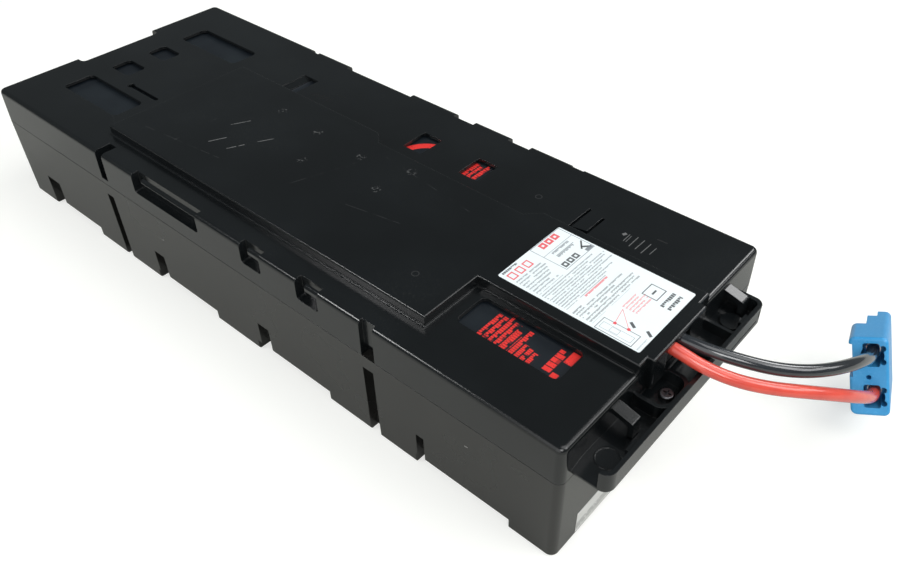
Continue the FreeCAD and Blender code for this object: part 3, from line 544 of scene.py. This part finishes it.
# connector and small parts
small = {
    "blue": (0.026, 0.26, 0.56), "blueLight": (0.045, 0.32, 0.64), "bluePale": (0.12, 0.41, 0.72),
    "blueRoughness": 0.3, "blueEdge": 0.4,
    "metals": [  # finish, colour, roughness, pieces
        ("tinPlate", (0.72, 0.72, 0.7), 0.25, ("negative_tabs", "positive_tabs", "connector_contacts")),
        # painted shade: the screw's metal is darkened for the shade of the pocket it sits in
        ("shadedScrew", (0.16, 0.16, 0.17), 0.24, ("cover_screw",)),
        ("brassSleeve", (0.75, 0.55, 0.28), 0.3, ("receptacles",)),
    ],
    "mouldings": [
        ("bootRubber", (0.35, 0.03, 0.03), 0.45, ("terminal_boots",)),
        ("fuseBody", (0.05, 0.35, 0.1), 0.2, ("fuse",)),
        ("padFoam", (0.12, 0.12, 0.12), 0.8, ("foam_pads",)),
    ],
}


def connectorPaint():
    paint = Paint("connectorPlastic", IOR=1.5)
    tint = paint.layer(small["blue"], small["blueLight"], paint.noise(12, 3.0))
    paint.set(Base_Color=paint.layer(tint, small["bluePale"], paint.noise(1.2, 2.0).above(0.62, 0.1) * 0.3))
    paint.uneven(paint.noise(6), small["blueRoughness"], 0.12)
    paint.bump(paint.noise(0.7, 2.0), 0.15, 0.06, small["blueEdge"])
    return paint


def metalPaint(name, colour, roughness):
    paint = Paint(name, Metallic=1.0)
    grain = paint.noise(0.5, 3.0)
    paint.set(Base_Color=paint.layer(colour, [value * 0.6 for value in colour], grain.above(0.5, 0.3)))
    paint.uneven(grain, roughness - 0.05, 0.3)
    paint.bump(grain, 0.25, 0.05)
    return paint


connectorPaint().onto("connector_housing")
for name, colour, roughness, pieces in small["metals"]:
    metalPaint(name, colour, roughness).onto(*pieces)
for name, colour, roughness, pieces in small["mouldings"]:
    insulationPaint(name, colour, [value * 0.7 for value in colour], roughness).onto(*pieces)
print("small parts painted")


# floor
floor = {
    "half": 3.0, "drop": -0.0002, "tone": (0.55, 0.555, 0.52, 1),
    "cameraGlow": 0.52, "farGlow": 0.35, "farFrom": 0.7, "mirrorGlow": 0.05,
}
floorMesh = bpy.data.meshes.new("floor")
reach = floor["half"]
flatCorners = ((-reach, -reach), (reach, -reach), (reach, reach), (-reach, reach))
corners = [(x, y, floor["drop"]) for x, y in flatCorners]
floorMesh.from_pydata(corners, [], [(0, 1, 2, 3)])
floorPlane = bpy.data.objects.new("floor", floorMesh)
bpy.context.scene.collection.objects.link(floorPlane)
floorMaterial = bpy.data.materials.new("paleFloor")
floorMaterial.use_nodes = True
tree = floorMaterial.node_tree
tree.nodes.clear()
camera, glossy, through = [addNode(tree, "LightPath", "Is " + ray + " Ray", {}, {})
                           for ray in ("Camera", "Glossy", "Transmission")]
spot = addNode(tree, "TexCoord", "Object", {}, {})
away = addNode(tree, "VectorMath", "Value", {"operation": "LENGTH"}, {0: spot}) - floor["farFrom"]
pale = away.larger(0.0) * floor["farGlow"] + floor["cameraGlow"]  # the floor stays pale where the lamps fade
glowLevel = camera * pale + glossy.larger(through) * floor["mirrorGlow"]
matt = addNode(tree, "BsdfDiffuse", 0, {}, {"Color": floor["tone"]})
glow = addNode(tree, "Emission", 0, {}, {"Color": (1, 1, 1, 1), "Strength": glowLevel})
both = addNode(tree, "AddShader", 0, {}, {0: matt, 1: glow})
output = tree.nodes.new("ShaderNodeOutputMaterial")
tree.links.new(both.socket, output.inputs["Surface"])
floorMesh.materials.append(floorMaterial)
print("floor laid")


# light
studio = {
    "world": (0.88, 0.97, 1.0), "worldStrength": 0.17,
    "lamps": [  # name, place, aim, size, power
        ("overhead", (0.7, 0.3, 1.6), (0.1, 0, 0), 1.2, 10),
        ("keyRight", (1.3, -1.2, 1.4), (0.1, 0, 0.05), 0.85, 16),
        ("highRight", (1.6, 0.5, 1.4), (0.2, 0, 0.03), 0.9, 12),
        ("lowFront", (0.3, -1.7, 0.8), (0.1, 0, 0.03), 1.8, 14),
        ("edgeLeft", (-0.96, -1.05, 1.33), (0, 0, 0.05), 0.35, 8),
        ("rimBack", (1.35, 1.25, 1.1), (0, 0, 0.05), 0.6, 5),
        ("highBack", (0.40, 1.37, 1.26), (0.22, 0, 0.07), 0.5, 7),
    ],
}
world = bpy.data.worlds.new("studio")
world.use_nodes = True
worldTree = world.node_tree
worldTree.nodes.clear()
sky, white = [addNode(worldTree, "Background", 0, {}, {"Color": (*colour, 1), "Strength": strength})
              for colour, strength in ((studio["world"], studio["worldStrength"]), ((1, 1, 1), 1.0))]
seen = addNode(worldTree, "LightPath", "Is Camera Ray", {}, {})
backdrop = addNode(worldTree, "MixShader", 0, {}, {0: seen, 1: sky, 2: white})
worldOutput = worldTree.nodes.new("ShaderNodeOutputWorld")
worldTree.links.new(backdrop.socket, worldOutput.inputs["Surface"])
bpy.context.scene.world = world
for name, place, aim, size, power in studio["lamps"]:
    lamp = bpy.data.lights.new(name, "AREA")
    lamp.size = size
    lamp.energy = power
    softbox = bpy.data.objects.new(name, lamp)
    softbox.location = place
    softbox.rotation_euler = (Vector(aim) - Vector(place)).to_track_quat("-Z", "Y").to_euler()
    bpy.context.scene.collection.objects.link(softbox)

# camera
view = {
    "lens": 35.68, "sensor": 36, "shift": (-0.041, -0.0452),
    "turn": -39.45, "down": 38.71, "roll": 0.6,  # degrees
    "place": (559.5, -188.8, 357.3),  # millimetres from the closed end's front corner
}
turn, down, roll = [math.radians(view[name]) for name in ("turn", "down", "roll")]
forward = Vector((math.sin(turn) * math.cos(down), math.cos(turn) * math.cos(down), -math.sin(down)))
flatRight = Vector((math.cos(turn), -math.sin(turn), 0))
flatUp = flatRight.cross(forward)
right = flatRight * math.cos(roll) + flatUp * math.sin(roll)
up = flatUp * math.cos(roll) - flatRight * math.sin(roll)
lens = bpy.data.cameras.new("camera")
lens.sensor_width = view["sensor"]
lens.lens = view["lens"]
lens.shift_x, lens.shift_y = view["shift"]
eye = bpy.data.objects.new("camera", lens)
x, y = fromCorner(*view["place"][:2])
stand = Matrix.Translation((x * millimetre, y * millimetre, view["place"][2] * millimetre))
eye.matrix_world = stand @ Matrix((right, up, -forward)).transposed().to_4x4()
bpy.context.scene.collection.objects.link(eye)
bpy.context.scene.camera = eye
bpy.context.scene.view_settings.view_transform = "Standard"
print("camera and light set")
